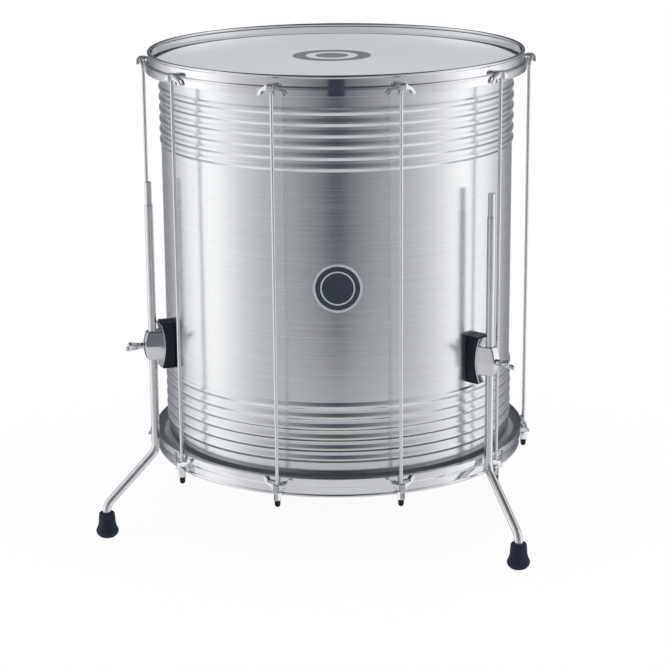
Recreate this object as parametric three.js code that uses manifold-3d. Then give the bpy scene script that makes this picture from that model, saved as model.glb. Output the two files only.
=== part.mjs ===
// Floor-standing samba bass drum: a ribbed metal shell with a head at each end, drawn together
// by long rods with claws, and carried by three bent legs that are clamped to the shell.
//
// Millimetres, +Z up. The origin is the centre of the upper head's playing face, and the drum
// is seen from the front along +Y. Angles round the drum start at the front and grow towards +X.
import * as THREE from 'three';
import { mergeVertices } from 'three/addons/utils/BufferGeometryUtils.js';
import Module from 'manifold-3d';

const wasm = await Module();
wasm.setup();

// Fits
const seatGap = 0.3; // between two pieces that rest on each other
const runningClearance = 0.5; // radial, between a bore and the shaft that turns or slides in it
const cutOverrun = 2; // how far a cutter runs past what it cuts

// Facets of the round pieces
const ringSides = 30;
const footSides = 12;
const tubeSides = 12;
const boreSides = 8;
const rodSides = 8;
const bendSteps = 3;
const edgeSteps = 1;
const bowSteps = 4;

// Shell
const shellRadius = 254;
const shellDepth = 558.8;
const shellWall = 1.5;
const bearingEdgeRadius = 3; // the ends are rolled inwards
const bearingEdgeLip = 4;
const ribCount = 6; // at each end
const ribPitch = 15.3;
const ribWidth = 13.8;
const ribHeight = 2.2;
const firstRibInset = 35.6; // from the end of the shell to the middle of the nearest rib

// Heads, each a film crimped into an aluminium flesh hoop
const filmThickness = 0.5;
const collarDrop = 6; // how far the film falls between the bearing edge and its hoop
const fleshHoopWidth = 9.4;
const fleshHoopHeight = 9;
const fleshHoopWall = 1.5;

// Counterhoops, pressed from sheet: an upright band, a ledge and an outer skirt
const bandStandoff = 16.3; // of the band's outer face from the shell
const ledgeWidth = 3.7;
const hoopSheet = 2;
const hoopProud = 15; // how far the band stands past the end of the shell
const hoopHeight = 28;
const shoulderWidth = 2.8; // the ledge rounds over into the skirt
const shoulderDrop = 5;
const rimBead = 1.4; // the free edge of the band is rolled outwards by this much
const rimBeadHeight = 3.5;

// Tension rods, with the claw of the upper end welded on and a vinyl cap on the lower end
const rodCount = 10;
const firstRodAngle = 18; // degrees
const rodRadius = 2.5;
const rodSkirtGap = 1.5; // between a rod and the skirts of the hoops
const capRadius = 4.4;
const capHeight = 10.2;
const capNose = 3;

// Claws, the same pressing above and below
const clawSheet = 2.6;
const clawBandGap = 0.5; // between the claw's inner edge and the band
const clawNeckWidth = 12;
const clawNoseWidth = 9;
const clawNoseReach = 9.2; // from the rod's axis outwards
const clawNoseDrop = 8;
const clawProngSpread = 17; // from the rod's axis to the middle of a prong's tip
const clawProngWidth = 5;
const clawCrotch = 3.2; // how far the fork opens below the claw's flat
const clawBossRadius = 5.2;
const clawBossHeight = 10.2;

// Tuning nuts
const nutAcrossFlats = 9.8;
const nutHeight = 11.5;
const nutSides = 6;

// Legs, steel bars bent twice
const legCount = 3;
const firstLegAngle = -71.3; // degrees
const legTurns = [0, -18.2, 0]; // degrees that each leg is swivelled away from straight out
const legRadius = 6;
const legPlateGap = 2.1; // between the bar and the ends of its bracket's base plate
const legBendRadius = 24;
const legSlope = 45; // degrees from upright between the bends
const legReach = 77; // how far the foot stands out from the upright part
const bendToFoot = 0.5; // of straight bar between the lower bend and the foot
const legTopRise = 205; // of the bar's upper end above the middle of its bracket
const tipRadius = 4.9;
const tipLength = 31;
const tipShoulder = 4;
const tipRounding = 0.8;
const spigotRadius = 3.6;
const spigotLength = 20;

// Feet, moulded rubber
const groundClearance = 112.3; // from the floor to the lower rim of the drum
const footHeight = 36.9;
const footNeckRadius = 11.5;
const footWaistRadius = 12.6;
const footWaistHeight = 21;
const footFlareRadius = 16.5;
const footFlareHeight = 9.5;
const footBaseRadius = 11.5;
const footSole = 8; // of solid rubber below the bar

// Leg brackets: a pad against the shell, and a cast housing that clamps the leg
const padRibGap = 4.4; // between the pad and the nearest of the lower ribs
const padHeight = 68;
const padEndThickness = 18;
const padWaistThickness = 12.5; // at mid-height, where its outer face is hollowed
const padEndWidth = 27;
const padWaistWidth = 32;
const basePlateThickness = 2.6;
const basePlateInset = 1.6; // inside the outline of the pad
const housingHeight = 42;
const housingWidth = 21;
const housingEndWall = 1.8; // outside the bore, at the housing's ends
const housingBow = 4.5; // how much further out its middle stands
const bracketScrewSpacing = 28;
const bracketScrewRadius = 2.5;
const bracketScrewReach = 4.5; // into the housing
const screwHeadRadius = 4.6;
const screwHeadHeight = 3;
const backingPlateThickness = 2.5;
const backingPlateHeight = 46;
const backingPlateWidth = 22;

// Wing bolts
const wingShankRadius = 3;
const wingBossRadius = 4.6;
const wingBossLength = 12;
const wingReach = 26; // from the housing to the ends of the wings
const wingSpread = 7.2; // from the bolt's axis to the middle of a wing's lobe
const wingLobeRadius = 3.6;
const wingThickness = 4.6;
const wingRestTurns = [-38.5, 38.5, 38.5]; // degrees, as the bolts happen to stand

// Levels along the axis
const shellTop = -(filmThickness + seatGap);
const shellBottom = shellTop - shellDepth;
const middle = (shellTop + shellBottom) / 2;
const rimBottom = shellBottom - hoopProud;
const floorLevel = rimBottom - groundClearance;
const ribsEnd = firstRibInset + (ribCount - 1) * ribPitch + ribWidth / 2;
const bracketLevel = shellBottom + ribsEnd + padRibGap + padHeight / 2;
const nutTop = shellBottom - clawBossHeight + clawSheet - seatGap;
const capTop = nutTop - nutHeight - seatGap;

// Radii that follow from the sizes above
const bandRadius = shellRadius + bandStandoff;
const skirtRadius = bandRadius + ledgeWidth;
const rodCircleRadius = skirtRadius + rodSkirtGap + rodRadius;
const plateEndRadius = shellRadius + padEndThickness + seatGap + basePlateThickness;
const legCircleRadius = plateEndRadius + legPlateGap + legRadius;
const boreRadius = legRadius + runningClearance;
const rodBoreRadius = rodRadius + runningClearance;
const shaftBoreRadius = wingShankRadius + runningClearance;
const screwHoleRadius = bracketScrewRadius + runningClearance;
const skirtFace = skirtRadius + seatGap;
const housingEndRadius = legCircleRadius + boreRadius + housingEndWall;
const housingMiddleRadius = housingEndRadius + housingBow;
const screwEnd = shellRadius + padWaistThickness + seatGap + basePlateThickness + bracketScrewReach;

const radians = THREE.MathUtils.degToRad;

const finishes = {
  brushedAluminium: [0xb4b8bc, 0.32, 1],
  chrome: [0xc9ccd2, 0.12, 1],
  castAluminium: [0xa9adb2, 0.45, 1],
  whiteFilm: [0xe6e9ea, 0.5, 0],
  blackRubber: [0x18191c, 0.75, 0],
  blackPlastic: [0x15191c, 0.5, 0],
  zincSteel: [0x9fa3a6, 0.4, 1],
};

function materialOf(finish) {
  const [color, roughness, metalness] = finishes[finish];
  return new THREE.MeshStandardMaterial({ color, roughness, metalness });
}

function named(name, geometry, finish) {
  const mesh = new THREE.Mesh(geometry, materialOf(finish));
  mesh.name = name;
  return mesh;
}

function solid(geometry) {
  const bare = geometry.clone();
  bare.deleteAttribute('normal');
  bare.deleteAttribute('uv');
  const merged = mergeVertices(bare);
  const corners = merged.index.array;
  const triVerts = [];
  for (let i = 0; i < corners.length; i += 3) {
    const [a, b, c] = corners.slice(i, i + 3);
    if (a !== b && b !== c && c !== a) triVerts.push(a, b, c);
  }
  const vertProperties = merged.attributes.position.array;
  return new wasm.Manifold(
    new wasm.Mesh({ numProp: 3, vertProperties, triVerts: new Uint32Array(triVerts) }),
  );
}

function geometryOf(body) {
  const { vertProperties, triVerts } = body.getMesh();
  const geometry = new THREE.BufferGeometry();
  geometry.setAttribute('position', new THREE.BufferAttribute(vertProperties, 3));
  geometry.setIndex(new THREE.BufferAttribute(triVerts, 1));
  geometry.computeVertexNormals();
  return geometry;
}

// Solid of revolution about Z from [radius, height] pairs, whichever way round they are listed.
// Its flats, not its corners, stand at the radii, and the rings' flats face the rods.
function revolved(profile, sides) {
  const points = profile.map(([radius, height]) => new THREE.Vector2(radius, height));
  if (THREE.ShapeUtils.area(points) < 0) points.reverse();
  const onAxis = points[0].x === 0 && points.at(-1).x === 0;
  if (!onAxis) points.push(points[0].clone());
  const cornerScale = 1 / Math.cos(Math.PI / sides);
  const geometry = new THREE.LatheGeometry(points, sides).rotateX(Math.PI / 2);
  return geometry.scale(cornerScale, cornerScale, 1);
}

function rod(radius, bottom, top, sides) {
  return revolved([[0, bottom], [radius, bottom], [radius, top], [0, top]], sides);
}

// Rod whose axis points out from the drum, between two distances from the drum's axis.
function radialRod(radius, inner, outer, sides) {
  return rod(radius, inner, outer, sides).rotateX(Math.PI / 2);
}

function prism(outline, depth) {
  return new THREE.ExtrudeGeometry(outline, { depth, bevelEnabled: false });
}

// Outline in [distance from the drum's axis, height], as thick as width along the rim.
function sideways(outline, width) {
  const geometry = prism(outline, width).translate(0, 0, -width / 2);
  const outwards = new THREE.Vector3(0, -1, 0);
  const upwards = new THREE.Vector3(0, 0, 1);
  const along = new THREE.Vector3(-1, 0, 0);
  return geometry.applyMatrix4(new THREE.Matrix4().makeBasis(outwards, upwards, along));
}

// Outline in [place along the rim, height], between two distances from the drum's axis.
function facing(outline, inner, outer) {
  return prism(outline, outer - inner).translate(0, 0, inner).rotateX(Math.PI / 2);
}

function polygon(points) {
  return new THREE.Shape(points.map(([x, y]) => new THREE.Vector2(x, y)));
}

// Points of a round stretch about a centre, from one angle to another in degrees.
function arc([x, y], radius, from, to, steps) {
  return Array.from({ length: steps + 1 }, (_, i) => {
    const angle = radians(from + ((to - from) * i) / steps);
    return [x + radius * Math.cos(angle), y + radius * Math.sin(angle)];
  });
}

// Corners of a regular polygon whose flats stand at the radius.
function ring(radius, sides) {
  const cornerRadius = radius / Math.cos(Math.PI / sides);
  return arc([0, 0], cornerRadius, 0, 360, sides).slice(1);
}

// Points of a shallow bow from one end to the other, standing out by rise in the middle.
function bow(endRadius, rise, halfHeight, steps) {
  return Array.from({ length: steps + 1 }, (_, i) => {
    const share = (2 * i) / steps - 1;
    return [endRadius + rise * (1 - share * share), halfHeight * share];
  });
}

// The lower end of the drum is the upper end turned over.
function turnedOver(profile) {
  return profile.map(([radius, height]) => [radius, 2 * middle - height]);
}

function aroundDrum(angle, ...children) {
  const group = new THREE.Group();
  group.rotation.z = radians(angle);
  group.add(...children);
  return group;
}

// One face of the upper end of the shell, from its mouth down past the ribs.
function shellFace(radius, edgeRadius, mouthLevel) {
  const corner = [radius - edgeRadius, mouthLevel - edgeRadius];
  const points = arc(corner, edgeRadius, 90, 0, edgeSteps);
  for (let i = 0; i < ribCount; i += 1) {
    const level = shellTop - firstRibInset - i * ribPitch;
    points.push([radius, level + ribWidth / 2]);
    points.push([radius + ribHeight, level]);
    points.push([radius, level - ribWidth / 2]);
  }
  return points;
}

function shellProfile() {
  const outer = shellFace(shellRadius, bearingEdgeRadius, shellTop);
  const inner = shellFace(shellRadius - shellWall, bearingEdgeRadius - shellWall, shellTop - shellWall);
  const lipRadius = shellRadius - bearingEdgeRadius - bearingEdgeLip;
  const lip = [[lipRadius, shellTop - shellWall], [lipRadius, shellTop]];
  return [
    ...lip,
    ...outer,
    ...turnedOver(outer).reverse(),
    ...turnedOver(lip).reverse(),
    ...turnedOver(inner),
    ...inner.toReversed(),
  ];
}

// Cutters for the two screws of a bracket, as far out as the given distance.
function screwHoles(outer) {
  const holes = [-1, 1].map((side) => {
    const level = bracketLevel + (side * bracketScrewSpacing) / 2;
    return solid(radialRod(screwHoleRadius, 0, outer, boreSides).translate(0, 0, level));
  });
  return holes[0].add(holes[1]);
}

function shell() {
  let body = solid(revolved(shellProfile(), ringSides));
  for (const angle of legAngles) {
    body = body.subtract(screwHoles(shellRadius + cutOverrun).rotate([0, 0, angle]));
  }
  return geometryOf(body);
}

function hoopProfile() {
  const rimTop = shellTop + hoopProud;
  const bandInner = bandRadius - hoopSheet;
  const skirtInner = skirtRadius - hoopSheet;
  const skirtEnd = rimTop - hoopHeight;
  const beadCentre = [bandRadius, rimTop - rimBeadHeight / 2];
  const bead = [
    [bandRadius, rimTop - rimBeadHeight],
    [bandRadius + rimBead, beadCentre[1]],
    [bandRadius, rimTop],
  ];
  return [
    [bandInner, rimTop],
    [bandInner, shellTop - hoopSheet],
    [skirtInner, shellTop - hoopSheet],
    [skirtInner, skirtEnd],
    [skirtRadius, skirtEnd],
    [skirtRadius, shellTop - shoulderDrop],
    [skirtRadius - 0.3 * shoulderWidth, shellTop - 0.3 * shoulderDrop],
    [skirtRadius - shoulderWidth, shellTop],
    [bandRadius, shellTop],
    ...bead,
  ];
}

const fleshHoopTop = shellTop - hoopSheet - seatGap;
const fleshHoopOuter = skirtRadius - hoopSheet - seatGap;
const fleshHoopInner = fleshHoopOuter - fleshHoopWidth;
const fleshHoopBottom = fleshHoopTop - fleshHoopHeight;

// A channel that opens upwards, its inner wall low enough for the film to pass over.
function fleshHoopProfile() {
  const floor = fleshHoopBottom + fleshHoopWall;
  const innerWallTop = -(collarDrop + filmThickness + seatGap);
  return [
    [fleshHoopInner, fleshHoopBottom],
    [fleshHoopOuter, fleshHoopBottom],
    [fleshHoopOuter, fleshHoopTop],
    [fleshHoopOuter - fleshHoopWall, fleshHoopTop],
    [fleshHoopOuter - fleshHoopWall, floor],
    [fleshHoopInner + fleshHoopWall, floor],
    [fleshHoopInner + fleshHoopWall, innerWallTop],
    [fleshHoopInner, innerWallTop],
  ];
}

function headProfile() {
  const kneeRadius = fleshHoopInner + fleshHoopWall + seatGap;
  const filmEnd = fleshHoopBottom + fleshHoopWall + seatGap;
  return [
    [0, 0],
    [shellRadius + seatGap, 0],
    [kneeRadius + filmThickness, -collarDrop],
    [kneeRadius + filmThickness, filmEnd],
    [kneeRadius, filmEnd],
    [kneeRadius, -collarDrop - filmThickness / 2],
    [shellRadius + seatGap / 2, -filmThickness],
    [0, -filmThickness],
  ];
}

// Two prongs that straddle the rod and lie against the skirt, down to its free edge.
function clawFork(flatLevel) {
  const tipLevel = flatLevel - (hoopHeight - hoopProud);
  const innerTip = clawProngSpread - clawProngWidth / 2;
  const outerTip = clawProngSpread + clawProngWidth / 2;
  const shoulder = clawNeckWidth / 2;
  const half = [
    [shoulder, flatLevel + clawSheet],
    [outerTip, tipLevel + clawProngWidth / 2],
    [clawProngSpread, tipLevel],
    [innerTip, tipLevel + clawProngWidth / 2],
    [shoulder / 2, flatLevel - clawCrotch],
  ];
  const outline = [...half, ...half.toReversed().map(([x, y]) => [-x, y])];
  return solid(facing(polygon(outline), skirtFace, skirtFace + clawSheet));
}

// The flat that bears on the ledge, carried out over the rod into a beak that curls down.
function upperClaw() {
  const flat = shellTop + seatGap;
  const top = flat + clawSheet;
  const inner = bandRadius + clawBandGap;
  const tip = rodCircleRadius + clawNoseReach;
  const crown = rodCircleRadius + rodRadius;
  const tipLevel = flat - clawNoseDrop;
  const outline = [
    [inner, flat],
    [crown, flat],
    [tip - clawSheet, flat - clawSheet],
    [tip - clawSheet, tipLevel],
    [tip, tipLevel],
    [tip - clawSheet / 2, flat - clawSheet / 2],
    [crown + clawSheet / 2, top],
    [inner, top],
  ];
  return solid(sideways(polygon(outline), clawNoseWidth)).add(clawFork(flat));
}

function tensionRod() {
  const rodTop = shellTop + seatGap + clawSheet / 2;
  const capEnd = capTop - capHeight;
  const bar = revolved([
    [0, rodTop],
    [rodRadius, rodTop],
    [rodRadius, capTop],
    [capRadius, capTop],
    [capRadius, capEnd + capNose],
    [capRadius / 2, capEnd],
    [0, capEnd],
  ], rodSides);
  return geometryOf(solid(bar.translate(0, -rodCircleRadius, 0)).add(upperClaw()));
}

// The same fork turned over, with a boss for the rod and a beak that flares down.
function lowerClaw() {
  const flat = shellBottom - seatGap;
  const bossTop = flat + clawSheet;
  const bossBottom = nutTop + seatGap;
  const inner = bandRadius + clawBandGap;
  const tip = rodCircleRadius + clawNoseReach;
  const outline = [
    [inner, flat],
    [skirtFace, flat],
    [skirtFace, bossTop],
    [rodCircleRadius + clawBossRadius, bossTop],
    [tip, bossBottom],
    [rodCircleRadius - clawBossRadius, bossBottom],
    [inner, flat - clawSheet],
  ];
  const fork = clawFork(shellTop + seatGap).mirror([0, 0, 1]).translate([0, 0, 2 * middle]);
  const bore = rod(rodBoreRadius, bossBottom - cutOverrun, bossTop + cutOverrun, rodSides);
  const body = solid(sideways(polygon(outline), 2 * clawBossRadius)).add(fork);
  return geometryOf(body.subtract(solid(bore.translate(0, -rodCircleRadius, 0))));
}

function tuningNut() {
  const outline = polygon(ring(nutAcrossFlats / 2, nutSides));
  outline.holes.push(polygon(ring(rodBoreRadius, rodSides)));
  return prism(outline, nutHeight).translate(0, 0, nutTop - nutHeight);
}

// A curve that is walked from station to station, so that straights take no extra steps.
class StationCurve extends THREE.Curve {
  constructor(stations) {
    super();
    this.stations = stations;
  }

  at(t) {
    return this.stations[Math.round(t * (this.stations.length - 1))];
  }

  getPointAt(t) {
    const { outwards, height } = this.at(t);
    return new THREE.Vector3(0, -outwards, height);
  }

  getTangentAt(t) {
    const { slope } = this.at(t);
    return new THREE.Vector3(0, -Math.sin(slope), -Math.cos(slope));
  }
}

const legTop = bracketLevel + legTopRise;
const legBottom = floorLevel + footSole + seatGap;

// The leg's axis from top to bottom: two equal bends with a sloping straight between them.
function legStations() {
  const bendRun = legBendRadius * Math.tan(radians(legSlope) / 2);
  const lowerBend = floorLevel + footHeight + bendToFoot + bendRun;
  const upperBend = lowerBend + legReach / Math.tan(radians(legSlope));
  const bend = Array.from({ length: bendSteps + 1 }, (_, i) => {
    const slope = (radians(legSlope) * i) / bendSteps;
    const outwards = legBendRadius * (1 - Math.cos(slope));
    return { outwards, drop: legBendRadius * Math.sin(slope), slope };
  });
  const upper = bend.map(({ outwards, drop, slope }) => (
    { outwards, height: upperBend + bendRun - drop, slope }
  ));
  const lower = bend.toReversed().map(({ outwards, drop, slope }) => (
    { outwards: legReach - outwards, height: lowerBend - bendRun + drop, slope }
  ));
  return [
    { outwards: 0, height: legTop, slope: 0 },
    ...upper,
    ...lower,
    { outwards: legReach, height: legBottom, slope: 0 },
  ];
}

function leg() {
  const stations = legStations();
  const section = polygon(ring(legRadius, tubeSides));
  const bar = new THREE.ExtrudeGeometry(section, {
    steps: stations.length - 1,
    extrudePath: new StationCurve(stations),
    bevelEnabled: false,
  });
  const socketBottom = legTop - spigotLength - seatGap;
  const socket = rod(spigotRadius + runningClearance, socketBottom, legTop + cutOverrun, boreSides);
  return geometryOf(solid(bar).subtract(solid(socket)));
}

// Slimmer end that plugs into the top of the bar.
function legTip() {
  const seat = legTop + seatGap;
  const end = seat + tipShoulder + tipLength;
  return revolved([
    [0, end],
    [tipRadius - tipRounding, end],
    [tipRadius, end - tipRounding],
    [tipRadius, seat + tipShoulder],
    [legRadius, seat],
    [spigotRadius, seat],
    [spigotRadius, seat - spigotLength],
    [0, seat - spigotLength],
  ], tubeSides);
}

function foot() {
  const underside = [footBaseRadius, floorLevel];
  const flareEdge = [footFlareRadius, floorLevel + footFlareHeight];
  const roundingShare = 0.8;
  const rounding = [
    THREE.MathUtils.lerp(underside[0], flareEdge[0], roundingShare),
    floorLevel + footFlareHeight * (1 - roundingShare),
  ];
  const mouth = floorLevel + footHeight;
  const socketFloor = floorLevel + footSole;
  const profile = [
    [0, floorLevel],
    underside,
    rounding,
    flareEdge,
    [footWaistRadius, floorLevel + footWaistHeight],
    [footNeckRadius, mouth],
    [legRadius + seatGap, mouth],
    [legRadius + seatGap, socketFloor],
    [0, socketFloor],
  ];
  return revolved(profile, footSides).translate(0, -legReach, 0);
}

// Barrel-shaped outline of the pad and its base plate, seen from outside.
function padOutline(inset) {
  const half = padHeight / 2 - inset;
  const endHalfWidth = padEndWidth / 2 - inset;
  const right = bow(endHalfWidth, (padWaistWidth - padEndWidth) / 2, half, bowSteps);
  const left = right.toReversed().map(([x, y]) => [-x, y]);
  return [...right, ...left].map(([x, y]) => [x, bracketLevel + y]);
}

// Hollowed outer face of the pad, or a face that lies outside it by offset.
function padFace(offset, halfHeight) {
  const endRadius = shellRadius + padEndThickness + offset;
  const hollow = padWaistThickness - padEndThickness;
  return bow(endRadius, hollow, halfHeight, bowSteps).map(([x, y]) => [x, bracketLevel + y]);
}

function bracketPad(angle) {
  const half = padHeight / 2;
  const deep = shellRadius - cutOverrun;
  const outline = [
    [deep, bracketLevel - half],
    ...padFace(0, half),
    [deep, bracketLevel + half],
  ];
  const reach = shellRadius + padEndThickness + cutOverrun;
  const shellSpace = rod(shellRadius + seatGap, shellBottom, shellTop, ringSides);
  const body = solid(sideways(polygon(outline), padWaistWidth))
    .intersect(solid(facing(polygon(padOutline(0)), deep - cutOverrun, reach)))
    .subtract(solid(shellSpace).rotate([0, 0, -angle]))
    .subtract(screwHoles(reach));
  return geometryOf(body);
}

function bracketHousing() {
  const plateHalf = padHeight / 2 - basePlateInset;
  const inner = padFace(seatGap, padHeight / 2);
  const outer = padFace(seatGap + basePlateThickness, padHeight / 2);
  const plate = solid(sideways(polygon([...inner, ...outer.toReversed()]), padWaistWidth))
    .intersect(solid(facing(polygon(padOutline(basePlateInset)), shellRadius, legCircleRadius)));
  const half = housingHeight / 2;
  const root = shellRadius + padWaistThickness + seatGap + basePlateThickness / 2;
  const face = bow(housingEndRadius, housingBow, half, bowSteps);
  const block = [
    [root, bracketLevel - half],
    ...face.map(([x, y]) => [x, bracketLevel + y]),
    [root, bracketLevel + half],
  ];
  const hollow = [
    [shellRadius, bracketLevel - plateHalf],
    ...padFace(seatGap, plateHalf),
    [shellRadius, bracketLevel + plateHalf],
  ];
  const boreHalf = half + cutOverrun;
  const legBore = rod(boreRadius, bracketLevel - boreHalf, bracketLevel + boreHalf, boreSides);
  const boltEnd = housingMiddleRadius + cutOverrun;
  const boltBore = radialRod(shaftBoreRadius, legCircleRadius, boltEnd, boreSides);
  const body = solid(sideways(polygon(block), housingWidth))
    .subtract(solid(sideways(polygon(hollow), padWaistWidth)))
    .add(plate)
    .subtract(solid(legBore.translate(0, -legCircleRadius, 0)))
    .subtract(solid(boltBore.translate(0, 0, bracketLevel)))
    .subtract(screwHoles(screwEnd + seatGap));
  return geometryOf(body);
}

// Backing plate inside the shell, with the two screws that hold the bracket.
function backingPlate(angle) {
  const halfHeight = backingPlateHeight / 2;
  const halfWidth = backingPlateWidth / 2;
  const shellInner = shellRadius - shellWall;
  const plateInner = shellInner - seatGap - backingPlateThickness;
  const outline = [
    [-halfWidth, bracketLevel - halfHeight],
    [halfWidth, bracketLevel - halfHeight],
    [halfWidth, bracketLevel + halfHeight],
    [-halfWidth, bracketLevel + halfHeight],
  ];
  const shellSpace = rod(shellInner - seatGap, shellBottom, shellTop, ringSides);
  let body = solid(facing(polygon(outline), plateInner, shellRadius))
    .intersect(solid(shellSpace).rotate([0, 0, -angle]));
  for (const side of [-1, 1]) {
    const level = bracketLevel + (side * bracketScrewSpacing) / 2;
    const shank = radialRod(bracketScrewRadius, plateInner, screwEnd, rodSides);
    const headTop = plateInner - screwHeadHeight;
    const head = radialRod(screwHeadRadius, headTop, plateInner + seatGap, rodSides);
    body = body.add(solid(shank.translate(0, 0, level))).add(solid(head.translate(0, 0, level)));
  }
  return geometryOf(body);
}

// Made along the bolt's own axis, which is then turned to point out of the housing.
function wingBolt() {
  const shankEnd = legCircleRadius + legRadius + seatGap;
  const bossStart = housingMiddleRadius + seatGap;
  const bossEnd = bossStart + wingBossLength;
  const lobeCentre = housingMiddleRadius + wingReach - wingLobeRadius;
  const half = [
    ...arc([wingSpread, lobeCentre], wingLobeRadius, -30, 150, bowSteps),
    [0, bossEnd],
  ];
  const root = [wingBossRadius, bossStart + wingBossLength / 2];
  const left = half.slice(0, -1).toReversed().map(([x, y]) => [-x, y]);
  const outline = [root, ...half, ...left, [-root[0], root[1]]];
  const wings = prism(polygon(outline), wingThickness).translate(0, 0, -wingThickness / 2);
  wings.rotateX(Math.PI / 2);
  const stem = revolved([
    [0, shankEnd],
    [wingShankRadius, shankEnd],
    [wingShankRadius, bossStart],
    [wingBossRadius, bossStart],
    [wingBossRadius, bossEnd],
    [0, bossEnd],
  ], tubeSides);
  return geometryOf(solid(wings).add(solid(stem))).rotateX(Math.PI / 2);
}

const rodAngles = Array.from({ length: rodCount }, (_, i) => firstRodAngle + (i * 360) / rodCount);
const legAngles = Array.from({ length: legCount }, (_, i) => firstLegAngle + (i * 360) / legCount);

function rodSet(angle, i) {
  const nut = named(`tuning_nut_${i + 1}`, tuningNut(), 'chrome');
  nut.position.y = -rodCircleRadius;
  return aroundDrum(
    angle,
    named(`tension_rod_${i + 1}`, tensionRod(), 'chrome'),
    named(`lower_claw_${i + 1}`, lowerClaw(), 'chrome'),
    nut,
  );
}

function legSet(angle, i) {
  const swivelled = new THREE.Group();
  swivelled.position.y = -legCircleRadius;
  swivelled.rotation.z = radians(legTurns[i]);
  swivelled.add(
    named(`leg_${i + 1}`, leg(), 'chrome'),
    named(`leg_tip_${i + 1}`, legTip(), 'chrome'),
    named(`foot_${i + 1}`, foot(), 'blackRubber'),
  );
  const bolt = named(`wing_bolt_${i + 1}`, wingBolt(), 'chrome');
  bolt.rotation.y = radians(wingRestTurns[i]);
  bolt.position.z = bracketLevel;
  return aroundDrum(
    angle,
    named(`bracket_pad_${i + 1}`, bracketPad(angle), 'blackPlastic'),
    named(`bracket_housing_${i + 1}`, bracketHousing(), 'chrome'),
    named(`backing_plate_${i + 1}`, backingPlate(angle), 'zincSteel'),
    bolt,
    swivelled,
  );
}

const drum = new THREE.Group();
drum.add(
  named('shell', shell(), 'brushedAluminium'),
  named('upper_hoop', revolved(hoopProfile(), ringSides), 'chrome'),
  named('lower_hoop', revolved(turnedOver(hoopProfile()), ringSides), 'chrome'),
  named('batter_head', revolved(headProfile(), ringSides), 'whiteFilm'),
  named('resonant_head', revolved(turnedOver(headProfile()), ringSides), 'whiteFilm'),
  named('upper_flesh_hoop', revolved(fleshHoopProfile(), ringSides), 'castAluminium'),
  named('lower_flesh_hoop', revolved(turnedOver(fleshHoopProfile()), ringSides), 'castAluminium'),
  ...rodAngles.map(rodSet),
  ...legAngles.map(legSet),
);

export default drum;
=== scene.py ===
"""Looks of a floor-standing samba bass drum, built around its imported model.

Metres, +Z up, with the origin at the centre of the upper head. The drum is seen from the front
along +Y, and angles round it start at the front and grow towards +X.
"""

import math

import bmesh
import bpy
from bpy.props import FloatProperty, FloatVectorProperty, IntProperty, PointerProperty
from mathutils import Euler, Matrix, Vector


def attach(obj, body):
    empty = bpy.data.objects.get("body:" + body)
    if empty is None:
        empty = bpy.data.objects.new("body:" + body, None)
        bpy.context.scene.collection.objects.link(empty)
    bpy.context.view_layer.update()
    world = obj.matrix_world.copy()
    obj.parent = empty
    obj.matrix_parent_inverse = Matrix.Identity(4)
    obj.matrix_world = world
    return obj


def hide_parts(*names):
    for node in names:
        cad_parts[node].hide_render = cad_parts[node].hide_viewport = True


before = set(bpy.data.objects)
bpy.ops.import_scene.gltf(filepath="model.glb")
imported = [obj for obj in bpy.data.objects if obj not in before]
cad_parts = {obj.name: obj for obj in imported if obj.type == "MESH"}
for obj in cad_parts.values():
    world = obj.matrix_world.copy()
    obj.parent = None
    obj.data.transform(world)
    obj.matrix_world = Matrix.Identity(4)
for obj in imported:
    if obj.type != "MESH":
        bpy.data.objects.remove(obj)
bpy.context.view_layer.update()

bl_info = {
    "name": "Surdo drum",
    "version": (1, 0, 0),
    "blender": (4, 5, 0),
    "location": "3D View > Sidebar > Surdo",
    "description": "Models and finishes a floor-standing bass drum piece by piece",
    "category": "Add Mesh",
}

MM = 0.001
TURN = 2 * math.pi
RING_STEPS = 180
FLANK_STEPS = 8  # of a rib's side, which sways a little into its foot and its crest
FLANK_SWAY = 0.02
BESIDE_RIB = 0.5 * MM  # a narrow strip beside each rib takes up its bent shading
GAP = 0.3 * MM  # between two pieces that lie against each other
PLAY = 0.5 * MM  # between a round bar and its bore
OVERSHOOT = 2 * MM  # how far a tool reaches past what it cuts
CLAW_EDGE = 0.7 * MM  # rounding of a claw's edges
CAP_BITE = 0.6 * MM  # how far a rod reaches into its cap
BAR_EDGE = 0.1 * MM  # chamfer where a leg meets its tip

# Angles round the drum; the legs also swivel in their brackets
ROD_ANGLES = [math.radians(18 + 36 * i) for i in range(10)]
LEG_ANGLES = [math.radians(-71.3 + 120 * i) for i in range(3)]
LEG_TURNS = [0.0, math.radians(-18.2), 0.0]

# The photograph's camera, fitted to the rims, the shell, the legs and the feet
CAMERA_PLACE = (0, -3.1043, 0.4455)
CAMERA_PITCH, CAMERA_YAW, CAMERA_ROLL = (math.radians(d) for d in (15.425, -0.152, -0.461))
FOCAL_PIXELS = 2163.4
FRAME_PIXELS = 665
SENSOR_WIDTH = 36  # millimetres

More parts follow.
